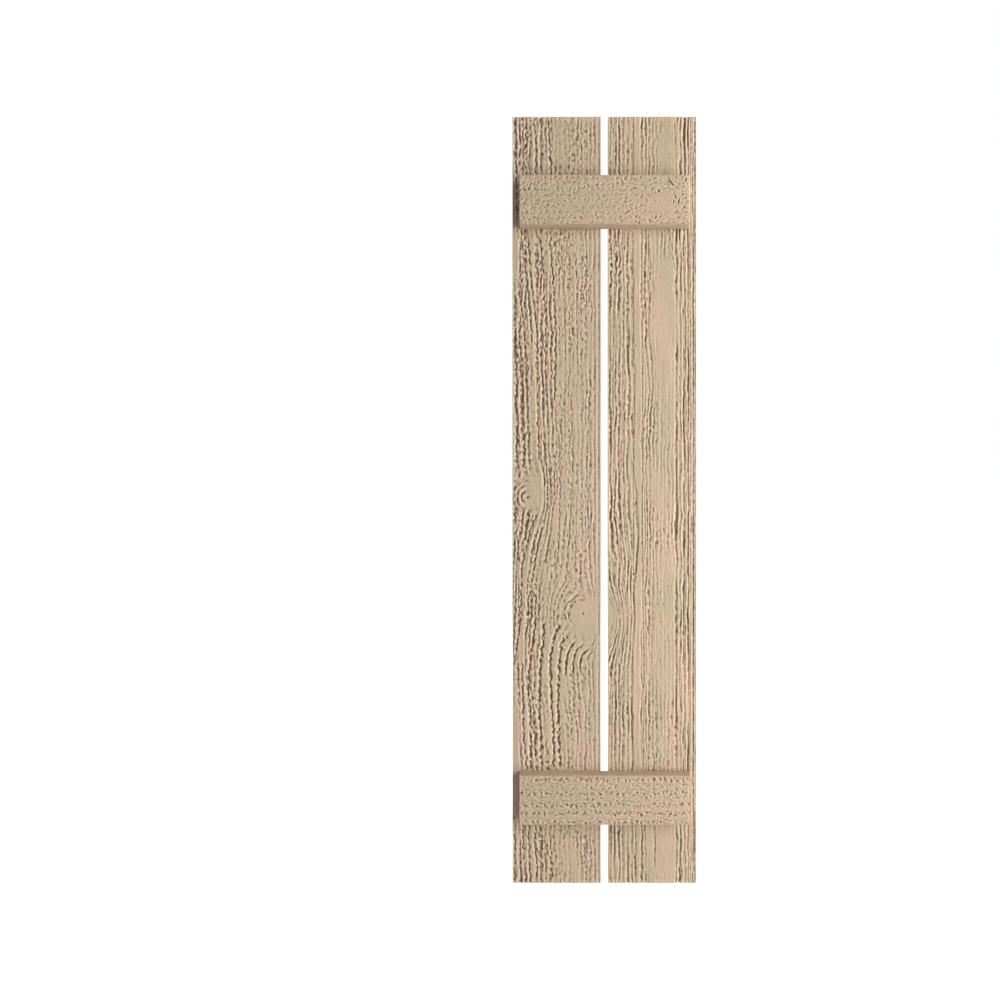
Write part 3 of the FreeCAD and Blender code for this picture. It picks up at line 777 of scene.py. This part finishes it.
def primed_wood(name, tint, seed):
    """Matt tan primer on rough-sawn wood, with painted shade, darker and browner, in the grain's hollows
    and painted highlights on its ridges.
    """
    s = Shader(bpy.data.materials.new(name))
    place = s.node("ShaderNodeAttribute", {"attribute_name": "grain_place"}, {}, "Vector")
    hollow = s.node("ShaderNodeAttribute", {"attribute_name": "hollow"}, {}, "Fac")
    shift = (seed * 7.3, seed * 1.7, seed * 3.1)
    drift = s.speckle(place, (38, 40, 160), 2, shift)
    streak = s.speckle(place, (3.2, 8, 46), 3, shift)
    fibre = s.speckle(place, (0.55, 0.9, 6.5), 3, shift)
    tooth = s.speckle(place, (0.8, 0.8, 1.6), 2, shift)
    body = s.blend(s.ramp(drift, 0.35, 0.65), tint.green, tint.pink)
    body = s.blend(s.ramp(streak, 0.5, 0.75, 0, 0.35), body, tint.crest)
    # Painted highlight: places that stand above the relief around them are lightened towards the light
    # tone.
    body = s.blend(s.ramp(hollow - 0.2 * fibre, -0.2, -0.8, 0, 0.7), body, tint.crest)
    # Painted shade: places that lie below the relief around them darken towards the dark brown tone, the
    # deeper the more.
    painted_shade = s.ramp(hollow + 0.2 * tooth, 0.1, 1.15, 0, 0.8)
    body = s.blend(painted_shade, body, tint.hollow)
    depth = s.node("ShaderNodeSeparateXYZ", {}, {"Vector": place}, "Y")
    back = s.ramp(depth, 0.0, 0.06, 1, 0)
    sawn = s.ramp(depth, 0.0, 0.24, 1, 0)
    ring = s.speckle(place, (2.4, 1, 90), 3, shift)
    saw = s.speckle(place, (60, 1, 1.5), 1, shift)
    # Painted shade on the sawn sides and back: darker streaks along the rings in the dark brown tone,
    # standing in for the shading of their saw marks.
    body = s.blend(sawn * s.ramp(ring, 0.35, 0.7, 0.02, 0.4), body, tint.hollow)
    height = 0.55 * fibre + 0.45 * tooth - back * (1.2 * ring + 0.35 * saw)
    bump = s.node("ShaderNodeBump", {}, {"Height": height, "Distance": 0.0005, "Strength": 0.8}, "Normal")
    surface = s.tree.nodes["Principled BSDF"]
    rough = s.ramp(fibre, 0.3, 0.7, 0.82, 0.95)
    s.feed(surface, {"Base Color": body, "Roughness": rough, "Normal": bump, "Specular IOR Level": 0.25})
    return s.owner


# The primer's tones: two that drift at random, a light one for streaks and for the painted highlight on
# ridges, and a dark brown one for the painted shade in the grain's hollows and for the streaks on the sawn
# sides.
Tint = namedtuple("Tint", "green pink crest hollow")
LEFT_TINT = Tint(
    green=linear(190, 172, 144),
    pink=linear(199, 173, 150),
    crest=linear(224, 204, 178),
    hollow=linear(104, 80, 59),
)
RIGHT_TINT = Tint(
    green=linear(189, 170, 143),
    pink=linear(199, 174, 150),
    crest=linear(224, 204, 178),
    hollow=linear(106, 80, 58),
)
BATTEN_TINT = Tint(
    green=linear(188, 169, 143),
    pink=linear(196, 170, 147),
    crest=linear(218, 197, 173),
    hollow=linear(134, 108, 84),
)


def zinc_plate():
    """Satin zinc plate on the screws."""
    s = Shader(bpy.data.materials.new("zinc_plate"))
    place = s.node("ShaderNodeTexCoord", {}, {}, "Object")
    cloud = s.speckle(place, (0.004, 0.004, 0.004))
    colour = s.blend(s.ramp(cloud, 0.35, 0.65), linear(196, 192, 180), linear(218, 216, 210))
    surface = s.tree.nodes["Principled BSDF"]
    rough = s.ramp(cloud, 0.3, 0.7, 0.28, 0.42)
    s.feed(surface, {"Base Color": colour, "Roughness": rough, "Metallic": 1.0})
    return s.owner


# Build the pieces

SCREW_NODES = [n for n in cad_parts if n.endswith("_screw")]
HOLE_RIM_RADIUS = 4.4 * MM
HOLE_RADIUS = 2.4 * MM
PILOT_RADIUS = 2.1 * MM
PILOT_WOOD_LEFT = 5 * MM
SCREW_SET = 0.5 * MM
BEYOND = 2 * MM
BOARD_MESH = (136, 610)
BATTEN_MESH = (150, 460)


def middle_of(node):
    """The middle of a node's box."""
    low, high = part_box(node)
    return [(a + b) / 2 for a, b in zip(low, high)]


def dress(node, grain, mesh_size, lies_across, tint):
    """Puts a carved, finished plank with its screw holes in a node's place."""
    plank = make_plank(node, grain, *mesh_size, lies_across)
    low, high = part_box(node)
    screws = [middle_of(s) for s in SCREW_NODES]
    centres = [(m[0], m[2]) for m in screws if low[0] < m[0] < high[0] and low[2] < m[2] < high[2]]
    if lies_across:
        outline = [(PILOT_RADIUS, low[1] + PILOT_WOOD_LEFT), (PILOT_RADIUS, high[1] + BEYOND)]
    else:
        cone_top = high[1] - SCREW_SET
        outline = [
            (HOLE_RADIUS, low[1] - BEYOND),
            (HOLE_RADIUS, cone_top - HOLE_RIM_RADIUS + HOLE_RADIUS),
            (HOLE_RIM_RADIUS, cone_top),
            (HOLE_RIM_RADIUS, high[1] + BEYOND),
        ]
    cut(plank, hole_cutter(node + "_holes", centres, outline))
    plank.data.materials.clear()
    plank.data.materials.append(primed_wood(node + "_finish", tint, grain.seed % 10))
    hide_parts(node)
    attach(plank, "root")


dress(LEFT_BOARD, LEFT_GRAIN, BOARD_MESH, False, LEFT_TINT)
dress(RIGHT_BOARD, RIGHT_GRAIN, BOARD_MESH, False, RIGHT_TINT)
dress(TOP_BATTEN, TOP_GRAIN, BATTEN_MESH, True, BATTEN_TINT)
dress(BOTTOM_BATTEN, BOTTOM_GRAIN, BATTEN_MESH, True, BATTEN_TINT)

zinc = zinc_plate()
for screw in SCREW_NODES:
    for slot in bpy.data.objects[screw].material_slots:
        slot.material = zinc


# Light, floor and camera

solid_low, solid_high = Vector(solid_box[0]), Vector(solid_box[1])
middle = (solid_low + solid_high) / 2
BOARD_FACE = -19 * MM


def add_light(name, place, target, wide, tall, watts):
    """A flat lamp that faces its target and isn't seen itself."""
    light = bpy.data.lights.new(name, "AREA")
    light.shape = "RECTANGLE"
    light.size, light.size_y = wide, tall
    light.energy = watts
    holder = bpy.data.objects.new(name, light)
    holder.location = place
    holder.rotation_euler = (Vector(target) - Vector(place)).to_track_quat("-Z", "Y").to_euler()
    holder.visible_camera = False
    bpy.context.scene.collection.objects.link(holder)


KEY_ANGLE = math.radians(60)
KEY_AWAY = 1.9
KEY_UP = 0.1
KEY_WATTS = 60
BACK_FILL_WATTS = 30
AMBIENT = 0.27
key_right = middle.x + KEY_AWAY * math.sin(KEY_ANGLE)
key_front = BOARD_FACE - KEY_AWAY * math.cos(KEY_ANGLE)
add_light("key", (key_right, key_front, KEY_UP), (middle.x, BOARD_FACE, 0), 0.28, 2.2, KEY_WATTS)
add_light("back_fill", (middle.x - 1.0, 1.6, 0.8), (middle.x, 0, 0), 1.2, 1.2, BACK_FILL_WATTS)


def make_world():
    """Soft light from all sides, seen as plain white."""
    world = bpy.data.worlds.new("studio")
    bpy.context.scene.world = world
    s = Shader(world)
    seen = s.node("ShaderNodeLightPath", {}, {}, "Is Camera Ray")
    glossy = s.node("ShaderNodeLightPath", {}, {}, "Is Glossy Ray")
    strength = s.ramp(seen + glossy, 0.0, 1.0, AMBIENT, 1.0)
    s.feed(s.tree.nodes["Background"], {"Color": (1, 1, 1, 1), "Strength": strength})


FLOOR_REACH = 6.0
FLOOR_GLOW = 0.84


def make_floor():
    """A pale floor that keeps the shutter's shadow and looks white in the picture."""
    mesh = bpy.data.meshes.new("floor")
    reach = FLOOR_REACH
    corners = [(-reach, -reach), (reach, -reach), (reach, reach), (-reach, reach)]
    corners = [(x, y, solid_low.z) for x, y in corners]
    mesh.from_pydata(corners, [], [(0, 1, 2, 3)])
    floor = bpy.data.objects.new("floor", mesh)
    bpy.context.scene.collection.objects.link(floor)
    s = Shader(bpy.data.materials.new("white_floor"))
    s.tree.nodes.remove(s.tree.nodes["Principled BSDF"])
    diffuse = s.node("ShaderNodeBsdfDiffuse", {}, {"Color": (0.7, 0.7, 0.7, 1)}, "BSDF")
    glow = s.node("ShaderNodeEmission", {}, {"Color": (1, 1, 1, 1), "Strength": FLOOR_GLOW}, "Emission")
    lit = s.node("ShaderNodeAddShader", {}, {0: diffuse, 1: glow}, "Shader")
    seen = s.node("ShaderNodeLightPath", {}, {}, "Is Camera Ray")
    mixed = s.node("ShaderNodeMixShader", {}, {"Fac": seen, 1: diffuse, 2: lit}, "Shader")
    s.feed(s.tree.nodes["Material Output"], {"Surface": mixed})
    mesh.materials.append(s.owner)
    floor.visible_shadow = False


make_world()
make_floor()

camera = bpy.data.objects.new("camera", bpy.data.cameras.new("camera"))
camera.data.sensor_width = SENSOR
camera.data.lens = BOARD_PX_PER_MM * CAMERA_TO_BOARDS / MM * SENSOR / PICTURE_SIDE
camera.data.shift_x = (PICTURE_SIDE / 2 - SHUTTER_MIDDLE_PX[0]) / PICTURE_SIDE
camera.data.shift_y = (SHUTTER_MIDDLE_PX[1] - PICTURE_SIDE / 2) / PICTURE_SIDE
camera.location = (middle.x, BOARD_FACE - CAMERA_TO_BOARDS, 0)
camera.rotation_euler = (math.pi / 2, 0, 0)
bpy.context.scene.collection.objects.link(camera)
bpy.context.scene.camera = camera
bpy.context.scene.view_settings.view_transform = "Standard"
